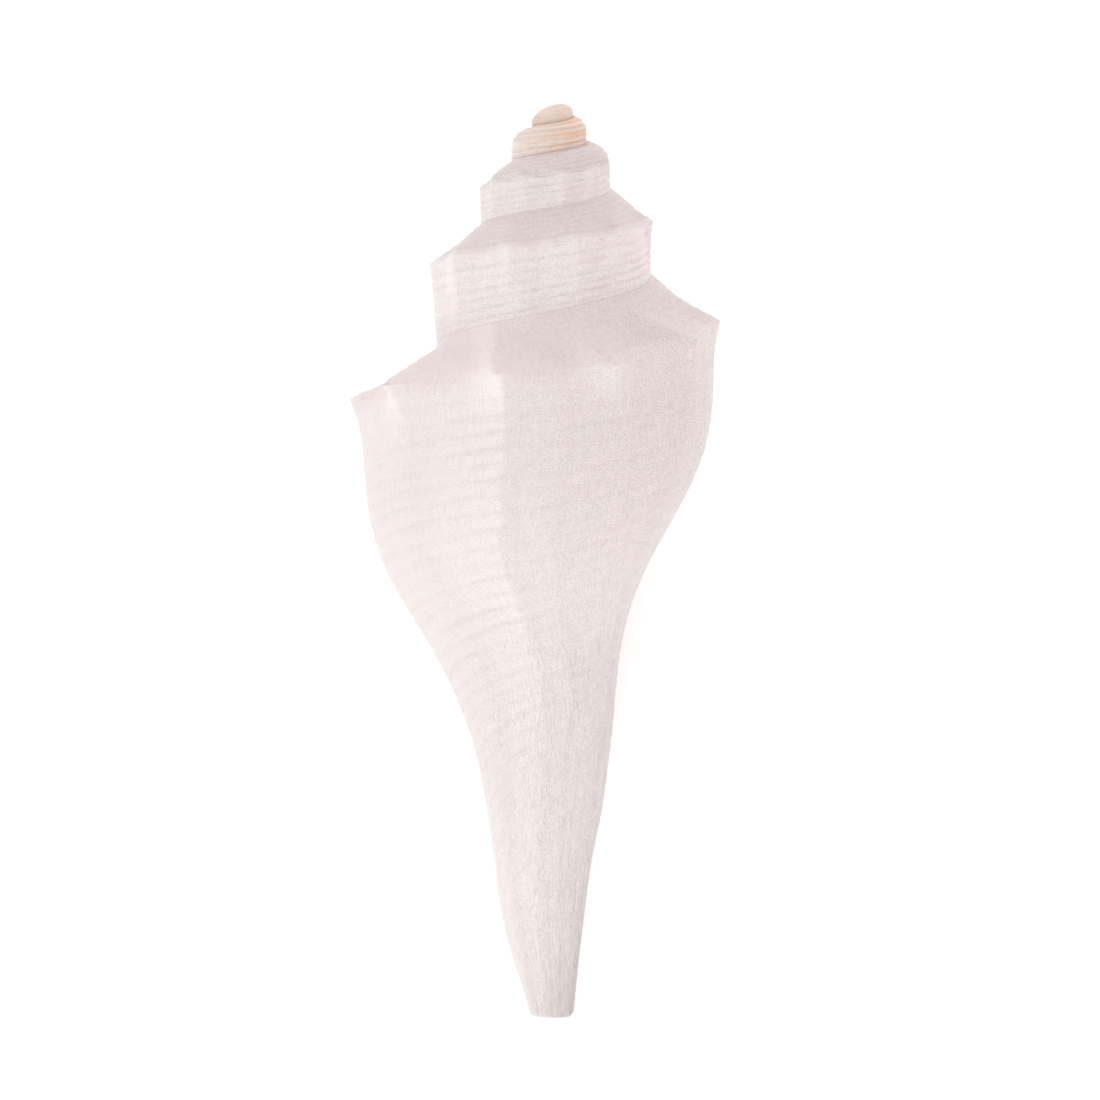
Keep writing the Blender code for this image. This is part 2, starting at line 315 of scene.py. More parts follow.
def suture_depth(turn):
    """Depth where the whorl meets the one before it."""
    steady = SUTURE_DEPTH * np.exp(SUTURE_GROWTH * turn) - BLUNT_TIP
    first_end = NUCLEUS_TURN + 1.0
    first_depth = SUTURE_DEPTH * math.exp(SUTURE_GROWTH * first_end) - BLUNT_TIP
    first = first_depth * np.clip(turn - NUCLEUS_TURN, 0.0, None) ** NUCLEUS_DROPS
    return np.where(turn < first_end, first, steady)


def shoulder_depth(turn):
    """Depth of the shoulder, where the ramp meets the side."""
    sag, middle, spread = SHOULDER_SAG
    steady = SHOULDER_DEPTH * np.exp(SHOULDER_GROWTH * turn) - BLUNT_TIP
    steady = steady + sag * np.exp(-((turn - middle) / spread) ** 2)
    return np.where(turn < NUCLEUS_TURN, 0.6 * suture_depth(turn + 1.0), steady)


def side_radius(turn, depth):
    """Radius below the shoulder: full, then falling by a smooth step to a canal that thins slowly."""
    drop = np.clip((depth - shoulder_depth(turn)) / np.exp(BELLY_SCALE * turn), 0.0, None)
    canal = CANAL_SHARE * np.exp(-drop / CANAL_FADE)
    return shoulder_radius(turn) * (canal + (1.0 - canal) / (1.0 + (drop / BELLY_DROP) ** BELLY_STEEPNESS))


def canal_radius(turn, depth):
    """Radius of the canal: the lip's side and the far side by outline, and thinner underneath."""
    depths, lip_side, far_side = np.array(CANAL_OUTLINE).T
    lip_side = soft_line(depth, depths, lip_side)
    far_side = soft_line(depth, depths, far_side)
    newer = 0.5 + 0.5 * np.cos(math.pi * np.clip(-2.0 * turn, 0.0, 1.0))
    older = 1.0 - CANAL_UNDERSIDE * smooth_step(-turn, *UNDERSIDE_TURNS)
    return np.where(turn > -0.5, far_side + (lip_side - far_side) * newer, far_side * older)


def dome_radius(turn, depth):
    """Radius of the rounded first whorl at a depth: a quarter ellipse from the tip to the shoulder."""
    along = np.clip(depth / np.maximum(shoulder_depth(turn), 1e-9), 0.0, 1.0)
    return shoulder_radius(turn) * np.sqrt(1.0 - (1.0 - along) ** 2)


def older_radius(turn, depth):
    """Radius of the whorl before, its own small dome and its side, which at first lie flush with the dome."""
    parted = smooth_step(turn, *DOME_TURNS)
    before = turn - 1.0
    own = np.where(depth < shoulder_depth(before), dome_radius(before, depth), side_radius(before, depth))
    return dome_radius(turn, depth) * (1.0 - parted) + own * parted


def whorl_radius(turn, depth):
    """Outer radius of one smooth whorl: a ramp from the suture to the shoulder, the side, then the canal."""
    turn, depth = np.broadcast_arrays(np.asarray(turn, float), np.asarray(depth, float))
    top, edge = suture_depth(turn), shoulder_depth(turn)
    older = older_radius(turn, top)
    along = np.clip((depth - top) / np.maximum(edge - top, 1e-9), 0.0, 1.0)
    roundness = 1.0 + ROUNDEST * smooth_step(-turn, *ROUND_WHORLS)
    bulge = (1.0 - (1.0 - along) ** roundness) ** (1.0 / roundness)
    bulge = bulge ** (1.0 + RAMP_HOLLOW * smooth_step(turn, *RAMP_HOLLOW_TURNS))
    ramp = older + (shoulder_radius(turn) - older) * bulge
    parted = smooth_step(turn, *DOME_TURNS)
    ramp = dome_radius(turn, depth) * (1.0 - parted) + ramp * parted
    radius = np.where(depth < edge, ramp, side_radius(turn, depth))
    radius = np.where(turn < NUCLEUS_TURN, older_radius(turn + 1.0, depth), radius)
    canal = smooth_step(depth, *CANAL_BLEND) * smooth_step(turn, *CANAL_START)
    return radius * (1.0 - canal) + canal_radius(turn, depth) * canal


def below_shoulder(turn, depth):
    """Distance below the shoulder in millimetres at turn 0: 0 on the shoulder, negative up the ramp."""
    top, edge = suture_depth(turn), shoulder_depth(turn)
    along = (depth - edge) / np.maximum(edge - top, 1e-9)
    return np.where(depth < edge, along * RAMP_SPAN, (depth - edge) / growth(turn))


def growth_turn(turn, depth):
    """Turn at which the growth line through a point crosses the shoulder: lines lean on ramp and base."""
    up_ramp = np.clip(-below_shoulder(turn, depth) / RAMP_SPAN, 0.0, 1.0)
    base = soft_line(depth, *np.array(BASE_LEAN).T) * smooth_step(turn, *BASE_LEAN_TURNS)
    return turn - RAMP_LEAN * up_ramp - base


def knob_shares(turn, depth, point):
    """The two knobs a place lies between: each one's share of its height there, and its number.

    A knob falls off steeply toward the lip and gently away from it, and ends at the next one's crest.
    """
    along = growth_turn(turn, depth)
    wider, gap_from, gap_to = KNOB_GAP
    count = (along - wider * smooth_step(along, gap_from, gap_to) - FIRST_KNOB) / KNOB_SPACING
    number = np.floor(count)
    shares = []
    for knob, flank in ((number, KNOB_FLANKS[0]), (number + 1.0, KNOB_FLANKS[1])):
        away = np.abs(count - knob)
        shares.append((np.exp(-(away / flank) ** point) * (1.0 - away ** 4), knob))
    return shares


def knob_ridge(turn, depth, point):
    """1 on every knob's crest, low between them."""
    return np.minimum(sum(share for share, knob in knob_shares(turn, depth, point)), 1.0)


def knob_relief(turn, depth):
    """Knobs: each falls off to both sides and up and down, and runs on as a low fold. Between them the ramp
    sinks to a shelf above the shoulder, and the shoulder is worn round."""
    below = (depth - shoulder_depth(turn)) / growth(turn)
    knobs = 0.0
    for share, knob in knob_shares(turn, depth, KNOB_POINT):
        older = np.clip(-knob, 0, len(KNOBS) - 1).astype(int)
        size, reach, rise = np.moveaxis(np.array(KNOBS)[older], -1, 0)
        drop = below + rise
        peak = np.exp(-np.abs(drop / np.where(drop < 0.0, *KNOB_FADE)) ** KNOB_POINT)
        fold = np.exp(-(drop / np.where(drop < 0.0, reach, FOLD_FADE)) ** 2)
        fold_share = np.where(drop < 0.0, *FOLD_SHARE)
        knobs = knobs + size * share * (peak * (1.0 - fold_share) + fold * fold_share)
    height = sum(gain * smooth_step(turn, start, end) for gain, start, end in KNOB_STAGES)
    depth_there = sum(gain * smooth_step(turn, start, end) for gain, start, end in DIP_STAGES)
    above = np.clip(-below, 0.0, None) / DIP_PEAK
    shelf = depth_there * (above * np.exp(1.0 - above)) ** 2
    wear = SHOULDER_WEAR * np.exp(-(below / WEAR_FADE) ** 2) * smooth_step(turn, *WEAR_TURNS)
    return knobs * height - (1.0 - knob_ridge(turn, depth, KNOB_POINT)) * (shelf + wear) * growth(turn)


def worn_radius(turn, depth):
    """The smooth whorl, its shoulder rounded between knobs by averaging the radius over nearby depths."""
    nearby = np.linspace(-1.0, 1.0, 9)
    span = SHOULDER_ROUNDING * growth(turn)
    rounded = np.mean([whorl_radius(turn, depth + span * share) for share in nearby], axis=0)
    below = np.abs(depth - shoulder_depth(turn)) / span
    amount = (1.0 - smooth_step(below, 1.0, 2.0)) * smooth_step(turn, *ROUNDING_TURNS)
    amount = amount * (1.0 - knob_ridge(turn, depth, KNOB_POINT) ** 2)
    return whorl_radius(turn, depth) * (1.0 - amount) + rounded * amount


def crease_relief(turn, depth):
    """One sharp crease along a growth line that falls off to both sides."""
    away = growth_turn(turn, depth) - CREASE_TURN
    flank = np.where(away < 0.0, *CREASE_FLANKS)
    rise_from, rise_to, fade_from, fade_to = CREASE_DEPTHS
    height = smooth_step(depth, rise_from, rise_to) * (1.0 - smooth_step(depth, fade_from, fade_to))
    return CREASE_HEIGHT * height * np.exp(-np.abs(away) / flank)


def crease_lit_side(turn, depth):
    """Where light is painted: 1 on the newer side of the crease, which faces the light, fading as the shell
    grows on, and 0 on its older side.
    """
    away = growth_turn(turn, depth) - CREASE_TURN
    return (away > 0.0) * np.exp(-np.clip(away, 0.0, None) / STAGE_FADE)


def painted_light_on_knob_flanks(turn, depth):
    """Painted light: 1 on the newer side of each knob's crest, the flank that faces the light, fading away
    from it: all down the sides of the young whorls, and only beside the knob on the last one."""
    share, knob = knob_shares(turn, depth, 1.0)[0]
    young, last, change_from, change_to = FACE_REACH
    reach = young + (last - young) * smooth_step(turn, change_from, change_to)
    below = below_shoulder(turn, depth)
    on_side = smooth_step(below, *SIDE_START) * np.exp(-(np.clip(below, 0.0, None) / reach) ** 2)
    return share ** FACE_SPREAD * on_side


def bleach_and_painted_light(turn, depth):
    """How pale the shell is: bleaching, least on its newest part, plus painted light beside the crease, on
    the knobs' lit flanks, on young sides (partly bleached) and on the shaded base and far canal.
    """
    below = below_shoulder(turn, depth)
    young = smooth_step(-turn, *YOUNG_SIDE_TURNS) * smooth_step(below, *SIDE_START)
    near_share, near, far = CANAL_FAR_SIDE
    far_side = near_share + (1.0 - near_share) * smooth_step(-turn, near, far)
    canal = smooth_step(below, *CANAL_REACH) * far_side
    more, end_from, end_to = CANAL_END
    canal = canal + more * smooth_step(depth, end_from, end_to)
    # painted light: beside the crease, on the knobs' lit flanks, on the young sides (there partly real
    # bleaching) and on the shaded base and canal
    pale = PALE + PALE_NEWEST * smooth_step(turn, *NEWEST_TURNS) + PAINTED_LIGHT_BY_CREASE * crease_lit_side(turn, depth)
    pale = pale + PAINTED_LIGHT_ON_KNOBS * painted_light_on_knob_flanks(turn, depth) + PALE_AND_LIT_YOUNG_SIDES * young + PAINTED_LIGHT_ON_CANAL * canal
    return np.clip(pale, 0.0, 1.0)


def young_fold_relief(turn, depth):
    """Rounded valleys down the young whorls, between folds in line with the knobs."""
    come, full, go, gone = YOUNG_FOLDS
    amount = smooth_step(turn, come, full) * (1.0 - smooth_step(turn, go, gone))
    below = below_shoulder(turn, depth)
    side_from, side_to, low_from, low_to = YOUNG_FOLD_SIDE
    place_on_side = 1.0 - YOUNG_FOLD_FADES * smooth_step(below, low_from, low_to)
    place_on_side = smooth_step(below, side_from, side_to) * place_on_side
    return YOUNG_FOLD_HEIGHT * amount * (knob_ridge(turn, depth, 2.0) - 1.0) * place_on_side


def cord_relief(turn, depth):
    """Cords parted by narrow grooves; each cord has its own strength, and all wander a little."""
    below = below_shoulder(turn, depth)
    wide_side, wide_ramp, spread_from, spread_to = YOUNG_SPREAD
    spread = smooth_step(-turn, spread_from, spread_to)
    phase = below / (CORD_SPACING * (1.0 + wide_side * spread))
    phase = phase + 0.10 * np.sin(below * 0.37 + 1.0) + 0.05 * np.sin(turn * 37.0 + below * 0.9)
    number = np.round(phase)
    across = phase - number
    strength = 0.7 + 0.3 * np.sin(number * 2.4 + 0.7) * np.sin(turn * 11.0 + number * 1.7)
    groove = np.exp(-((0.5 - np.abs(across)) / CORD_GROOVE) ** 2)
    young, newest = CORD_CROWN
    crown = young + (newest - young) * smooth_step(turn, *CORD_CROWN_TURNS)
    fade = smooth_step(below, *CORD_START) * (1.0 - CORD_LOSS * smooth_step(depth, *CORD_FADES))
    fade = fade * (1.0 - CORD_FAR_LOSS * smooth_step(-turn, 0.18, 0.24) * smooth_step(turn, -0.6, -0.5))
    side = CORD_HEIGHT * strength * fade * (crown * (0.6 - (2.0 * across) ** 2) - groove)
    ramp_spacing = RAMP_CORD_SPACING * (1.0 + wide_ramp * spread)
    ramp_crown = 0.5 + 0.5 * np.cos(2.0 * math.pi * below / ramp_spacing)
    on_ramp = (1.0 - smooth_step(below, -1.5, 0.0)) * (1.0 - CORD_LOSS * smooth_step(turn, -0.7, -0.2))
    return (side + RAMP_CORD_HEIGHT * (ramp_crown - 0.5) * on_ramp) * smooth_step(turn, *CORD_TURNS)


def growth_relief(turn, depth):
    """Slow uneven swells across the whorl where growth paused, the same from shoulder to canal."""
    line = growth_turn(turn, depth)
    swell = np.sin(line * 97.0 + 0.8 * np.sin(line * 31.0)) * np.sin(line * 23.0 + 1.1)
    fine = np.sin(line * 241.0 + 1.9 * np.sin(line * 53.0))
    amount = smooth_step(below_shoulder(turn, depth), *SWELL_START) * smooth_step(turn, *SWELL_TURNS)
    slow_height, fine_height = SWELLS
    return (slow_height * swell + fine_height * fine) * amount


def fine_relief(turn, depth):
    """Cords and growth swells together."""
    return cord_relief(turn, depth) + growth_relief(turn, depth)


def glaze_amount(turn, depth):
    """How much callus covers the older whorl just past the lip: all at the lip, none a little farther on."""
    past = turn - (LIP_TURN - 1.0)
    beside = (1.0 - smooth_step(past, *CALLUS_SPREAD)) * (past > -1e-6)
    return beside * smooth_step(depth, suture_depth(LIP_TURN) - 0.5, suture_depth(LIP_TURN) + 3.0)


def outside_profile(turn, depth):
    """Depth and radius of the finished outside: the smooth whorl moved along its normal by its relief."""
    radius = worn_radius(turn, depth)
    step = 0.05
    slope = (worn_radius(turn, depth + step) - worn_radius(turn, depth - step)) / (2.0 * step)
    length = np.hypot(1.0, slope)
    glaze = glaze_amount(turn, depth)
    relief = fine_relief(turn, depth) * (1.0 - glaze) + CALLUS_OUTSIDE * CALLUS * glaze
    relief = relief + young_fold_relief(turn, depth) + crease_relief(turn, depth)
    fade_reach, groove_reach = SUTURE_REACH
    groove = (1.0 - suture_clearance(turn, depth, groove_reach)) ** 3 * smooth_step(turn, *DOME_TURNS)
    relief = relief * suture_clearance(turn, depth, fade_reach) - SUTURE_GROOVE * growth(turn) ** 0.6 * groove
    from_lip = (LIP_TURN - turn) * 2.0 * math.pi * np.maximum(radius, 1.0)
    free_edge = suture_clearance(turn, depth, fade_reach)
    relief = relief - RIM_ROUNDING * rounded_edge(from_lip / RIM_ROUNDING) * free_edge
    relief = relief - TIP_ROUNDING * rounded_edge((SHELL_LENGTH - depth) / TIP_ROUNDING)
    moved = depth - relief * slope / length
    knobs = knob_relief(turn, depth) * smooth_step(depth - suture_depth(turn), 0.0, KNOB_CLEAR * growth(turn))
    return np.minimum(moved, SHELL_LENGTH), radius + relief / length + knobs


def suture_clearance(turn, depth, reach):
    """0 on a suture, 1 at some reach from it; the newest suture below the last whorl isn't one."""
    reach = reach * growth(turn) ** 0.7
    above = smooth_step(depth - suture_depth(turn), 0.0, reach)
    below = smooth_step(suture_depth(turn + 1.0) - depth, 0.0, reach)
    return above * np.where(turn > LIP_TURN - 1.0 + 1e-6, 1.0, below)


def rounded_edge(away):
    """A quarter circle's fall: 1 right on the edge, 0 from one radius away."""
    near = np.clip(1.0 - away, 0.0, 1.0)
    return 1.0 - np.sqrt(1.0 - near * near)


def place(turn, depth, radius):
    """Points in millimetres: the axis along Y with the spire at +Y, the newest half whorl upward."""
    angle = (turn + 0.25) * 2.0 * math.pi
    right = soft_line(depth, *np.array(AXIS_SWAY).T) - radius * np.sin(angle)
    lean, whole, none = TIP_LEAN
    down = depth - lean * right * (1.0 - smooth_step(depth, whole, none))
    return np.stack([right, -down, radius * np.cos(angle)], axis=-1)


def arc_length(turn):
    """Distance along the shoulder in millimetres, from far back in the coil."""
    return 2.0 * math.pi * SHOULDER_RADIUS * np.exp(WIDENING * turn) / WIDENING


def outside_turns():
    """Turns of the mesh columns: even steps, and in every turn the same extra ones close to the lip."""
    edge = RIM_ROUNDING / (2.0 * math.pi * SHOULDER_RADIUS)
    steps = np.sort(np.append(np.arange(COLUMNS_PER_TURN) / COLUMNS_PER_TURN, 1.0 - edge * RIM_COLUMNS))
    whole = math.ceil(SPIRE_TURNS)
    turns = LIP_TURN - whole + (np.arange(whole)[:, None] + steps).ravel()
    turns = np.append(turns, LIP_TURN)
    return turns[turns > LIP_TURN - SPIRE_TURNS - 1e-6], len(steps)


def row_depths(turns):
    """Depths of all rows: ramp, side, then base and canal, closer together beside sutures and at the tip."""
    top, edge, below = suture_depth(turns), shoulder_depth(turns), suture_depth(turns + 1.0)
    ramp = np.linspace(0.0, 1.0, RAMP_ROWS, endpoint=False) ** RAMP_CROWDING
    side = 1.0 - np.linspace(1.0, 0.0, SIDE_ROWS, endpoint=False) ** SIDE_CROWDING
    base = np.linspace(0.0, 1.0, BASE_ROWS + 1)
    base = base + BASE_CROWDING * np.sin(2.0 * math.pi * base) / (2.0 * math.pi)
    spans = ((top, edge, ramp), (edge, below, side), (below, np.full_like(turns, SHELL_LENGTH), base))
    rows = [start[:, None] + (end - start)[:, None] * share for start, end, share in spans]
    return np.concatenate(rows, axis=1)


def quads(index):
    """Corners of the squares of a grid, as grid numbers: (column, row) pairs in order."""
    return np.stack([index[:-1, :-1], index[:-1, 1:], index[1:, 1:], index[1:, :-1]], axis=-1).reshape(-1, 4)


def outside_mesh():
    """The filled outside as one closed strip: a whorl's last row is the first row one turn later.

    Squares with two corners at the tip of the spire become triangles.
    """
    turns, per_turn = outside_turns()
    depths = row_depths(turns)
    moved, radius = outside_profile(turns[:, None], depths)
    points = place(turns[:, None], moved, radius)
    count, rows = depths.shape
    spire_rows = RAMP_ROWS + SIDE_ROWS
    last = count - 1 - per_turn

    grid = np.arange(count * rows).reshape(count, rows)
    vertex = grid.copy()
    vertex[0] = 0
    vertex[turns < NUCLEUS_TURN + 1e-6, 0] = 0
    vertex[:last, spire_rows] = vertex[per_turn:per_turn + last, 0]
    vertex[last, spire_rows] = vertex[count - 1, 0]
    faces = np.concatenate([quads(grid[:, :spire_rows + 1]), quads(grid[last:, spire_rows:])])
    used = vertex.ravel()[faces]
    own = used != np.roll(used, -1, axis=1)
    own[own.sum(axis=1) < 3] = False
    face_sizes = own.sum(axis=1)
    lip = np.concatenate([grid[count - 1], grid[last, :spire_rows:-1]])
    tip = grid[last:, -1]
    corners = np.concatenate([faces[own], lip, tip])
    sizes = np.concatenate([face_sizes[face_sizes > 0], [len(lip), len(tip)]])

    patterns = {
        "arc": arc_length(growth_turn(turns[:, None], depths)),
        "below": below_shoulder(turns[:, None], depths),
        "turn": turns[:, None] + 0.0 * depths,
        "glaze": glaze_amount(turns[:, None], depths),
        "worn": np.clip(0.5 + fine_relief(turns[:, None], depths) / WORN_RANGE, 0.0, 1.0),
        "seam": 1.0 - suture_clearance(turns[:, None], depths, SUTURE_REACH[1]),
        "pale": bleach_and_painted_light(turns[:, None], depths),
    }
    return make_mesh("outside", points.reshape(-1, 3), vertex.ravel()[corners], corners, sizes, patterns)


def make_mesh(name, points, vertices, corners, sizes, patterns):
    """Fill a mesh from arrays: a vertex and a pattern place for every corner, and the size of every face."""
    used, vertices = np.unique(vertices, return_inverse=True)
    mesh = bpy.data.meshes.new(name)
    mesh.vertices.add(len(used))
    mesh.vertices.foreach_set("co", (points[used] * MM).ravel())
    mesh.loops.add(len(vertices))
    mesh.loops.foreach_set("vertex_index", vertices)
    mesh.polygons.add(len(sizes))
    mesh.polygons.foreach_set("loop_start", np.concatenate([[0], np.cumsum(sizes)[:-1]]))
    for key, values in patterns.items():
        layer = mesh.attributes.new(key, "FLOAT", "CORNER")
        layer.data.foreach_set("value", values.ravel()[corners])
    mesh.update(calc_edges=True)
    mesh.validate()
    return mesh


def inner_face(turn, depth, wall):
    """The outside with its dips but without its knobs, moved inward by the wall: depths and radii."""
    step = 0.05
    slope = (worn_radius(turn, depth + step) - worn_radius(turn, depth - step)) / (2.0 * step)
    length = np.hypot(1.0, slope)
    moved = depth + wall * slope / length
    dips = [knob_relief(turn, there) + young_fold_relief(turn, there) for there in (depth, moved)]
    return moved, worn_radius(turn, depth) + np.minimum(np.minimum(*dips), 0.0) - wall / length


def hollow_mesh():
    """The room inside as a closed coiling tube that pokes out past the lip.

    Every section runs down the outer wall, which is the outside moved inward by the wall's thickness, and
    back up the older whorl and its canal, which it covers with a thin callus.
    """
    start, end = LIP_TURN - HOLLOW_TURNS, LIP_TURN + HOLLOW_PAST_LIP
    turns = np.linspace(start, end, round((end - start) * HOLLOW_COLUMNS_PER_TURN) + 1)[:, None]
    rim_turns = RIM_ROUNDING / (2.0 * math.pi * SHOULDER_RADIUS)
    rim = LIP_TURN - rim_turns * np.append(RIM_COLUMNS, 0.0)[:, None]
    turns = np.unique(np.concatenate([turns, rim]))[:, None]
    size = growth(turns)
    thin = smooth_step(turns, LIP_TURN - LIP_THINS, LIP_TURN)
    wall = (WALL + (LIP_WALL - WALL) * thin) * size ** 0.7
    wall = wall - RIM_THINS * RIM_ROUNDING * rounded_edge((LIP_TURN - turns) / rim_turns)
    callus = CALLUS * size + LIFT_PAST_LIP * (turns > LIP_TURN + 1e-6)
    slit = SLIT * size

    top, edge = suture_depth(turns), shoulder_depth(turns)
    ramp = top + (edge - top) * np.linspace(0.0, 1.0, CLEARANCE_STEPS)
    ramp_depths, ramp_radii = inner_face(turns, ramp, WALL * size ** 0.7)
    clear = ramp_radii > whorl_radius(turns - 1.0, ramp_depths) + callus + slit
    start_depth = np.take_along_axis(ramp, np.argmax(clear, axis=1)[:, None], axis=1)
    grown_end = SHELL_LENGTH * np.exp(SHOULDER_GROWTH * turns) * HOLLOW_REACH
    channel_start = LIP_TURN - CANAL_HOLLOW_TURNS
    channel = smooth_step(turns, channel_start - CANAL_HOLLOW_FADE, channel_start)
    end_depth = grown_end + (SHELL_LENGTH + HOLLOW_PAST_TIP * wall - grown_end) * channel

    share = np.linspace(0.0, 1.0, HOLLOW_ROWS) ** HOLLOW_CROWDING
    depths, outer = inner_face(turns, start_depth + (end_depth - start_depth) * share, wall)
    inner = np.minimum(whorl_radius(turns - 1.0, depths) + callus, outer - slit)
    depths = np.concatenate([depths, depths[:, ::-1]], axis=1)
    radius = np.concatenate([outer, inner[:, ::-1]], axis=1)
    points = place(turns, depths, radius)

    grid = np.arange(depths.size).reshape(depths.shape)
    around = quads(np.concatenate([grid, grid[:, :1]], axis=1))[:, ::-1]
    corners = np.concatenate([around.ravel(), grid[0, ::-1], grid[-1]])
    sizes = np.concatenate([np.full(len(around), 4), [grid.shape[1]] * 2])
    patterns = {
        "arc": arc_length(growth_turn(turns, depths)),
        "below": below_shoulder(turns, depths),
        "turn": turns + 0.0 * depths,
        "glaze": np.ones_like(depths),
        "worn": np.full_like(depths, 0.5),
        "seam": np.zeros_like(depths),
        "pale": np.zeros_like(depths),
    }
    return make_mesh("hollow", points.reshape(-1, 3), corners, corners, sizes, patterns)


def outward(mesh, name):
    """An object with the mesh's faces turned outward."""
    work = bmesh.new()
    work.from_mesh(mesh)
    bmesh.ops.recalc_face_normals(work, faces=work.faces)
    work.to_mesh(mesh)
    work.free()
    piece = bpy.data.objects.new(name, mesh)
    bpy.context.scene.collection.objects.link(piece)
    return piece


def to_rest(mesh):
    """Turn the mesh to its rest pose and move it so that its box lies where the solid's box lies."""
    points = np.empty(3 * len(mesh.vertices))
    mesh.vertices.foreach_get("co", points)
    points = points.reshape(-1, 3) @ np.array(REST_TILT.to_matrix()).T
    low, high = np.array(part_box("shell"))
    offset = (low + high) / 2.0 - (points.min(axis=0) + points.max(axis=0)) / 2.0
    offset[2] = low[2] - points[:, 2].min()
    mesh.vertices.foreach_set("co", (points + offset).ravel())
    mesh.update()
    return Vector(offset)


def linear(code):
    """Linear colour of an sRGB hex code."""
    channels = [int(code[i:i + 2], 16) / 255.0 for i in (0, 2, 4)]
    return tuple(c / 12.92 if c <= 0.04045 else ((c + 0.055) / 1.055) ** 2.4 for c in channels) + (1.0,)


def add_node(tree, kind, inputs=(), **settings):
    """Add a node: settings are its own properties; inputs pair a socket with a value or another's output."""
    new = tree.nodes.new(kind)
    for name, value in settings.items():
        setattr(new, name, value)
    for name, value in dict(inputs).items():
        if isinstance(value, bpy.types.NodeSocket):
            tree.links.new(value, new.inputs[name])
        else:
            new.inputs[name].default_value = value
    return new


def new_material(name):
    """An empty node material: its tree and the surface shader."""
    material = bpy.data.materials.new(name)
    material.use_nodes = True
    return material, material.node_tree, material.node_tree.nodes["Principled BSDF"]


def coil_place(tree, along, down):
    """Pattern coordinates on the coil: along the whorl and down it, each in millimetres times a frequency."""
    x = product(tree, corner_value(tree, "arc"), along)
    y = product(tree, corner_value(tree, "below"), down)
    return add_node(tree, "ShaderNodeCombineXYZ", {"X": x, "Y": y}).outputs[0]


def corner_value(tree, name):
    """A pattern place that the mesh stores at its corners."""
    return add_node(tree, "ShaderNodeAttribute", attribute_name=name).outputs["Fac"]


def noise(tree, place, scale, detail, **more):
    """A noise pattern between 0 and 1."""
    inputs = {"Vector": place, "Scale": scale, "Detail": detail}
    inputs.update({name.capitalize(): value for name, value in more.items()})
    return add_node(tree, "ShaderNodeTexNoise", inputs).outputs["Fac"]


def ranged(tree, value, start, end, low, high):
    """The value taken from one range to another and held at its ends."""
    return add_node(tree, "ShaderNodeMapRange", {
        "Value": value, "From Min": start, "From Max": end, "To Min": low, "To Max": high}).outputs[0]


def product(tree, first, second):
    """Two values multiplied."""
    return add_node(tree, "ShaderNodeMath", {0: first, 1: second}, operation="MULTIPLY").outputs[0]


def product_plus(tree, first, second, added):
    """Two values multiplied, and a third one added."""
    return add_node(tree, "ShaderNodeMath", {
        0: first, 1: second, 2: added}, operation="MULTIPLY_ADD").outputs[0]


def tinted(tree, share, base, colour):
    """The base colour blended toward another by a share."""
    if isinstance(base, str):
        base = linear(base)
    if isinstance(colour, str):
        colour = linear(colour)
    return add_node(tree, "ShaderNodeMix", {
        "Factor": share, "A": base, "B": colour}, data_type="RGBA").outputs["Result"]


def blended(tree, share, first, second):
    """One value blended toward another by a share."""
    return add_node(tree, "ShaderNodeMix", {"Factor": share, "A": first, "B": second}).outputs["Result"]


def colour_ramp(tree, value, stops):
    """A colour ramp through (place, colour, strength) stops."""
    node = add_node(tree, "ShaderNodeValToRGB", {"Fac": value})
    ramp = node.color_ramp
    while len(ramp.elements) < len(stops):
        ramp.elements.new(0.5)
    for element, (spot, code, strength) in zip(ramp.elements, stops):
        element.position = spot
        element.color = linear(code)[:3] + (strength,)
    return node.outputs["Color"], node.outputs["Alpha"]


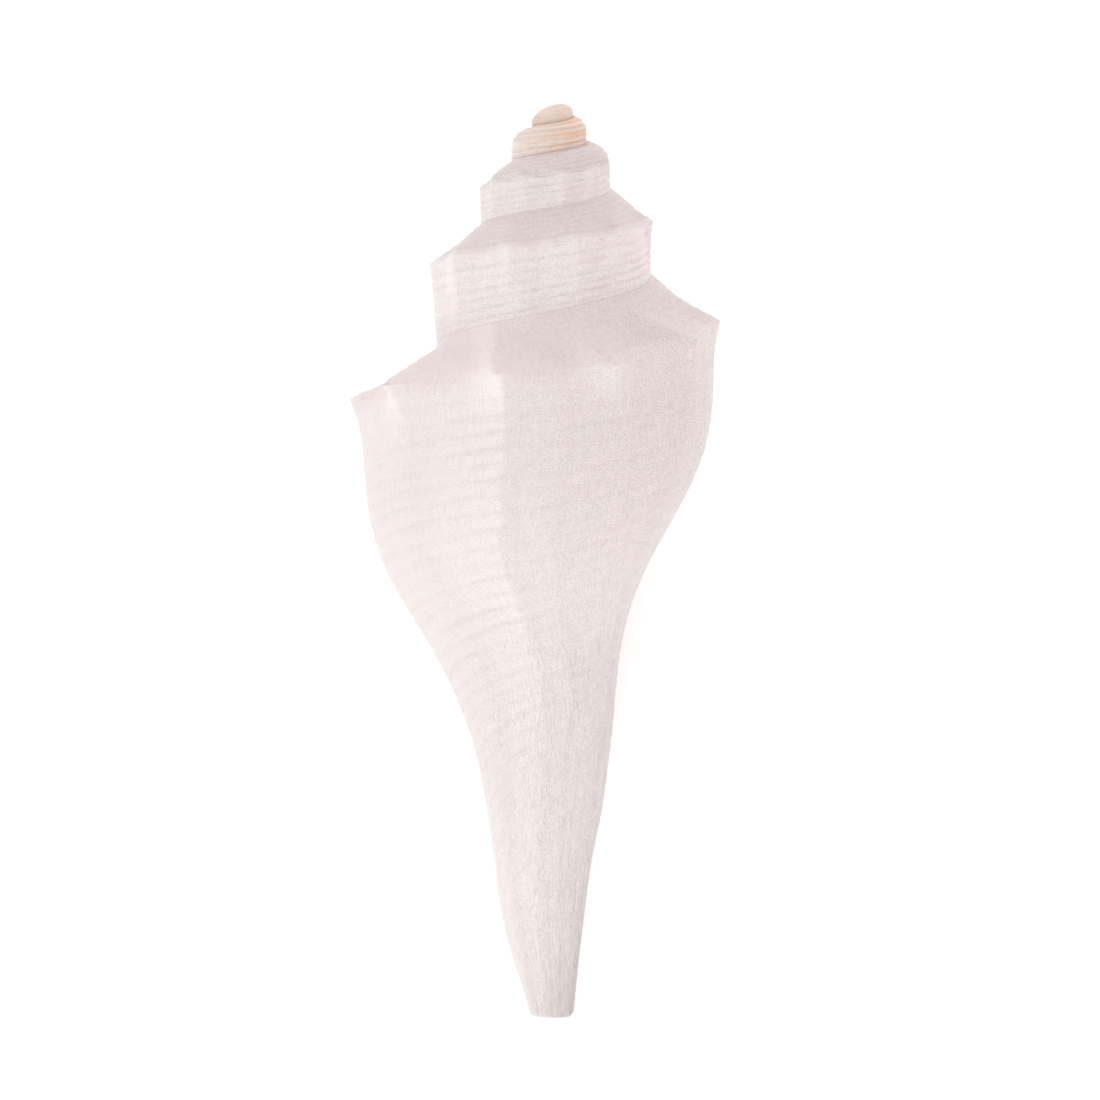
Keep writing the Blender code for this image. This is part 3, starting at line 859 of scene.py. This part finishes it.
def chalky_shell():
    """Bleached aragonite outside: chalky white with a pink breath, fine growth lines and threads."""
    material, tree, surface = new_material("bleached_chalky_shell")
    object_place = add_node(tree, "ShaderNodeTexCoord").outputs["Object"]
    turn, below = corner_value(tree, "turn"), corner_value(tree, "below")
    pale, worn = corner_value(tree, "pale"), corner_value(tree, "worn")
    seam, glaze = corner_value(tree, "seam"), corner_value(tree, "glaze")

    # wrinkles 0.3 mm wide and 2.5 mm long down the whorl, threads 0.5 mm wide along it, streaks 3 mm wide
    # down it, and even grain and patches
    wrinkles = noise(tree, coil_place(tree, 3.0, 0.40), 1.0, 2.0, roughness=0.7, distortion=0.6)
    threads = noise(tree, coil_place(tree, 0.25, 2.2), 1.0, 2.0, roughness=0.7)
    streaks = noise(tree, coil_place(tree, 0.35, 0.03), 1.0, 2.0)
    grain = noise(tree, object_place, 1.0 / (GRAIN_SIZE * MM), 0.0)
    patches = noise(tree, object_place, 1.0 / (PATCH_SIZE * MM), 2.0)

    # relief: rougher on the older part, and wrinkled most on the canal
    canal = ranged(tree, below, 12.0, 50.0, 0.0, 1.0)
    wrinkling = product_plus(tree, canal, 2.0, 0.8)
    relief = product_plus(tree, grain, 1.6, threads)
    relief = product_plus(tree, wrinkles, wrinkling, relief)
    relief = product(tree, relief, ranged(tree, turn, -0.05, -0.4, 0.5, 1.5))

    # colour: bleaching with painted light, patches, streaks, dirt and painted shade in the grooves, painted
    # shade in the pores where less bleached
    tint = tinted(tree, pale, CHALK, BLEACHED)
    tint = tinted(tree, product(tree, patches, 0.25), tint, PINK_PATCH)
    tint = tinted(tree, ranged(tree, streaks, 0.35, 0.7, 0.0, 0.2), tint, STREAK)
    # dirt and painted shade in the grooves between the cords
    tint = tinted(tree, ranged(tree, worn, 0.1, 0.6, 0.2, 0.0), tint, GROOVE_DIRT_AND_SHADE)
    # painted shade in the pores, standing in for their shadow
    pore_shade = product_plus(tree, pale, -0.16, 0.31)
    painted_pore_shade = ranged(tree, blended(tree, 0.5, grain, wrinkles), 0.38, 0.58, pore_shade, 0.0)
    tint = tinted(tree, painted_pore_shade, tint, PORE_SHADE_COLOUR)

    # the orange first whorls with their pale cords, stained sutures, and the callus beside the opening
    age = ranged(tree, turn, *YOUNG_TURNS, 0.0, 1.0)
    young_colour, young = colour_ramp(tree, age, YOUNG_COLOURS)
    tint = tinted(tree, young, tint, young_colour)
    cords = product(tree, ranged(tree, worn, 0.45, 0.66, 0.0, 0.85), young)
    tint = tinted(tree, cords, tint, PALE_CORD)
    stain = ranged(tree, seam, 0.8, 1.0, 0.0, product_plus(tree, young, 0.6, 0.22))
    tint = tinted(tree, stain, tint, SEAM_STAIN)
    tint = tinted(tree, glaze, tint, CALLUS_CREAM)

    rough = blended(tree, glaze, ranged(tree, grain, 0.3, 0.7, 0.42, 0.62), 0.22)
    bump = add_node(tree, "ShaderNodeBump", {
        "Height": relief, "Strength": 1.0, "Distance": OUTSIDE_BUMP * MM})
    tree.links.new(tint, surface.inputs["Base Color"])
    tree.links.new(rough, surface.inputs["Roughness"])
    tree.links.new(bump.outputs[0], surface.inputs["Normal"])
    surface.inputs["IOR"].default_value = 1.53
    shell_depth(surface)
    return material


def shell_depth(surface):
    """Light that goes a little way into the shell and comes out warmer."""
    surface.inputs["Subsurface Weight"].default_value = 0.12
    surface.inputs["Subsurface Radius"].default_value = (1.0, 0.75, 0.6)
    surface.inputs["Subsurface Scale"].default_value = SHINE_DEPTH * MM


def glazed_shell():
    """Porcelain-smooth inside of the opening: warm cream, glossy, with faint growth lines."""
    material, tree, surface = new_material("glazed_shell_inside")
    lines = noise(tree, coil_place(tree, 0.5, 0.02), 1.0, 3.0)
    tint = tinted(tree, lines, "F3E6DC", "F4ECE7")
    bump = add_node(tree, "ShaderNodeBump", {"Height": lines, "Strength": 1.0, "Distance": INSIDE_BUMP * MM})
    tree.links.new(tint, surface.inputs["Base Color"])
    tree.links.new(bump.outputs[0], surface.inputs["Normal"])
    surface.inputs["Roughness"].default_value = 0.2
    surface.inputs["IOR"].default_value = 1.55
    shell_depth(surface)
    return material


def build_shell():
    """The shell: its filled outside with the hollow cut out, at rest on the floor."""
    shell = outward(outside_mesh(), "sea_shell")
    hollow = outward(hollow_mesh(), "hollow")
    for material in (chalky_shell(), glazed_shell()):
        shell.data.materials.append(material)
        hollow.data.materials.append(material)
    hollow.data.polygons.foreach_set("material_index", np.ones(len(hollow.data.polygons), dtype=np.int32))
    cut = shell.modifiers.new("hollow", "BOOLEAN")
    cut.operation = "DIFFERENCE"
    cut.solver = "MANIFOLD"
    cut.object = hollow
    evaluated = shell.evaluated_get(bpy.context.evaluated_depsgraph_get())
    finished = bpy.data.meshes.new_from_object(evaluated)
    shell.modifiers.clear()
    shell.data = finished
    bpy.data.objects.remove(hollow)
    offset = to_rest(shell.data)
    shell.data.polygons.foreach_set("use_smooth", np.ones(len(shell.data.polygons), dtype=bool))
    shell.data.set_sharp_from_angle(angle=SHARP_ANGLE)
    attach(shell, "root")
    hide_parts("shell")
    return shell, offset


def floor():
    """A wide plain white sheet on a light table."""
    half = FLOOR_WIDTH / 2.0
    mesh = bpy.data.meshes.new("floor")
    corners = [(-half, -half, 0), (half, -half, 0), (half, half, 0), (-half, half, 0)]
    mesh.from_pydata(corners, [], [(0, 1, 2, 3)])
    sheet = bpy.data.objects.new("floor", mesh)
    bpy.context.scene.collection.objects.link(sheet)
    material, _, surface = new_material("white_paper")
    surface.inputs["Base Color"].default_value = linear("FCFCFC")
    surface.inputs["Roughness"].default_value = 0.9
    surface.inputs["Emission Color"].default_value = linear("FFFFFF")
    surface.inputs["Emission Strength"].default_value = FLOOR_GLOW
    mesh.materials.append(material)


def soft_light(name, size, power, position, colour, target):
    """A square soft box that faces the target."""
    data = bpy.data.lights.new(name, "AREA")
    data.size = size
    data.energy = power
    data.color = linear(colour)[:3]
    lamp = bpy.data.objects.new(name, data)
    lamp.location = position
    lamp.rotation_euler = (Vector(position) - Vector(target)).to_track_quat("Z", "Y").to_euler()
    lamp.visible_camera = False
    bpy.context.scene.collection.objects.link(lamp)


def studio(centre):
    """A bright tent of light, a soft box on the left, a weaker one beyond the spire, a card by the canal."""
    colour, strength = TENT
    world = bpy.data.worlds.new("tent")
    world.use_nodes = True
    background = world.node_tree.nodes["Background"]
    background.inputs["Color"].default_value = linear(colour)
    background.inputs["Strength"].default_value = strength
    bpy.context.scene.world = world
    for light in LIGHTS:
        soft_light(*light, centre)
    soft_light(*CARD, Vector(centre) + Vector(CARD_AIM))
    bpy.context.scene.view_settings.view_transform = "Standard"


def camera(offset):
    """A long lens that looks down on the shell's back, nearly square to its axis."""
    turn_matrix = REST_TILT.to_matrix()
    right, down = FRAME_CENTRE
    centre = turn_matrix @ Vector((right * MM, -down * MM, 0.0)) + offset
    data = bpy.data.cameras.new("camera")
    data.sensor_width = SENSOR
    data.lens = SENSOR * CAMERA_DISTANCE / FRAME_WIDTH
    data.clip_end = 100.0
    view = bpy.data.objects.new("camera", data)
    look_matrix = turn_matrix @ Euler((-CAMERA_PITCH, 0.0, 0.0)).to_matrix()
    view.location = centre + look_matrix @ Vector((0.0, 0.0, CAMERA_DISTANCE * MM))
    view.rotation_euler = look_matrix.to_euler()
    bpy.context.scene.collection.objects.link(view)
    bpy.context.scene.camera = view
    return centre


shell, rest_offset = build_shell()
floor()
studio(camera(rest_offset))
